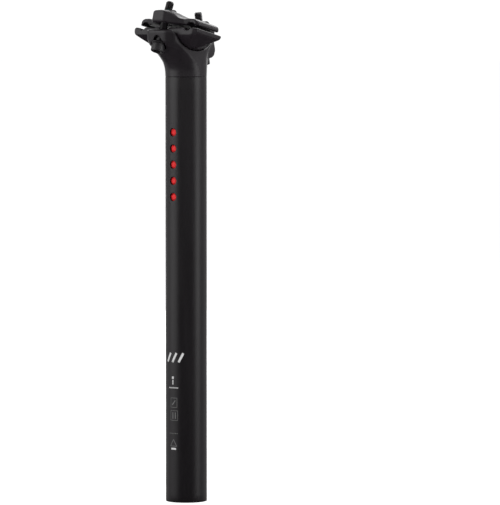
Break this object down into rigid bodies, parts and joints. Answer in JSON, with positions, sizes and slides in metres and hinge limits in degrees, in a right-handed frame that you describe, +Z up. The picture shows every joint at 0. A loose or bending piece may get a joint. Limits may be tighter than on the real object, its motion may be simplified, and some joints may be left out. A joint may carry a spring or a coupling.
{
  "type": "bicycle seatpost",
  "caption": "Rigid bicycle seatpost with a two-bolt tilting rail clamp and a rear light built into its tube behind round red lenses.",
  "frame": {"origin": "centre of the tube's open lower end", "axes": "+Z up the tube, +X to the front of the bicycle, +Y to its left; the light windows face -X"},
  "size_m": [0.0644, 0.0616, 0.3733],
  "materials": {
    "tube_aluminium": "satin black anodised",
    "forged_aluminium": "satin black anodised forging",
    "bolt_steel": "black oxide steel",
    "nut_steel": "black oxide steel",
    "red_lens": "red clear plastic",
    "housing_plastic": "moulded black plastic",
    "circuit_board": "solder mask",
    "chip_black": "moulded epoxy",
    "led_clear": "clear dome on a white base",
    "cell_wrap": "shrink wrap",
    "contact_metal": "nickel plate",
    "ribbon_film": "flexible film",
    "black_rubber": "soft silicone rubber",
    "bezel_metal": "black anodised"
  },
  "bodies": {
    "root": {"seatpost_tube": "tube_aluminium", "forged_head": "forged_aluminium", "red_lenses": "red_lens", "lamp_housing": "housing_plastic", "housing_cover": "housing_plastic", "housing_screws": "bolt_steel", "housing_rings": "black_rubber", "led_board": "circuit_board", "led_chips": "led_clear", "control_board": "circuit_board", "controller_chip": "chip_black", "ribbon_cable": "ribbon_film", "battery_cell": "cell_wrap", "positive_contact": "contact_metal", "battery_contact_spring": "contact_metal", "tact_switch": "chip_black", "button_bezel": "bezel_metal", "charge_socket": "contact_metal", "module_fixing_screw": "bolt_steel"},
    "clamp": {"lower_rail_cradle": "forged_aluminium", "upper_rail_clamp": "forged_aluminium"},
    "rear_washer": {"rear_bolt_washer": "bolt_steel"},
    "rear_bolt": {"rear_clamp_bolt": "bolt_steel"},
    "rear_nut": {"rear_barrel_nut": "nut_steel"},
    "front_washer": {"front_bolt_washer": "bolt_steel"},
    "front_bolt": {"front_clamp_bolt": "bolt_steel"},
    "front_nut": {"front_barrel_nut": "nut_steel"},
    "button": {"power_button": "black_rubber"},
    "plug": {"port_plug": "black_rubber"}
  },
  "joints": [
    {"name": "clamp_tilt", "type": "hinge", "parent": "root", "child": "clamp", "pos_m": [-0.003, 0, 0.366], "axis": [0, 1, 0], "range_deg": [-6, 6]},
    {"name": "rear_bolt_swing", "type": "hinge", "parent": "root", "child": "rear_washer", "pos_m": [-0.03249, 0, 0.33724], "axis": [0, 1, 0], "range_deg": [-5, 5]},
    {"name": "rear_bolt_turn", "type": "hinge", "parent": "rear_washer", "child": "rear_bolt", "pos_m": [-0.03249, 0, 0.33724], "axis": [0.3875, 0, 0.9219], "range_deg": [-640, 640]},
    {"name": "rear_nut_pivot", "type": "hinge", "parent": "clamp", "child": "rear_nut", "pos_m": [-0.02195, 0, 0.36231], "axis": [0, 1, 0], "range_deg": [-11, 11]},
    {"name": "front_bolt_swing", "type": "hinge", "parent": "root", "child": "front_washer", "pos_m": [0.01981, 0, 0.32732], "axis": [0, 1, 0], "range_deg": [-5, 5]},
    {"name": "front_bolt_turn", "type": "hinge", "parent": "front_washer", "child": "front_bolt", "pos_m": [0.01981, 0, 0.32732], "axis": [-0.1564, 0, 0.9877], "range_deg": [-640, 640]},
    {"name": "front_nut_pivot", "type": "hinge", "parent": "clamp", "child": "front_nut", "pos_m": [0.01559, 0, 0.35399], "axis": [0, 1, 0], "range_deg": [-11, 11]},
    {"name": "power_button_press", "type": "slide", "parent": "root", "child": "button", "axis": [-1, 0, 0], "range_m": [0, 0.0006], "stiffness_N_per_m": 1500},
    {"name": "port_plug_pull", "type": "slide", "parent": "root", "child": "plug", "axis": [1, 0, 0], "range_m": [0, 0.009]}
  ],
  "couplings": [
    {"joint": "rear_bolt_swing", "follows": "clamp_tilt", "ratio": -0.396},
    {"joint": "rear_bolt_turn", "follows": "clamp_tilt", "ratio": -100.77},
    {"joint": "rear_nut_pivot", "follows": "clamp_tilt", "ratio": -1.396},
    {"joint": "front_bolt_swing", "follows": "clamp_tilt", "ratio": -0.548},
    {"joint": "front_bolt_turn", "follows": "clamp_tilt", "ratio": 103.57},
    {"joint": "front_nut_pivot", "follows": "clamp_tilt", "ratio": -1.548}
  ]
}
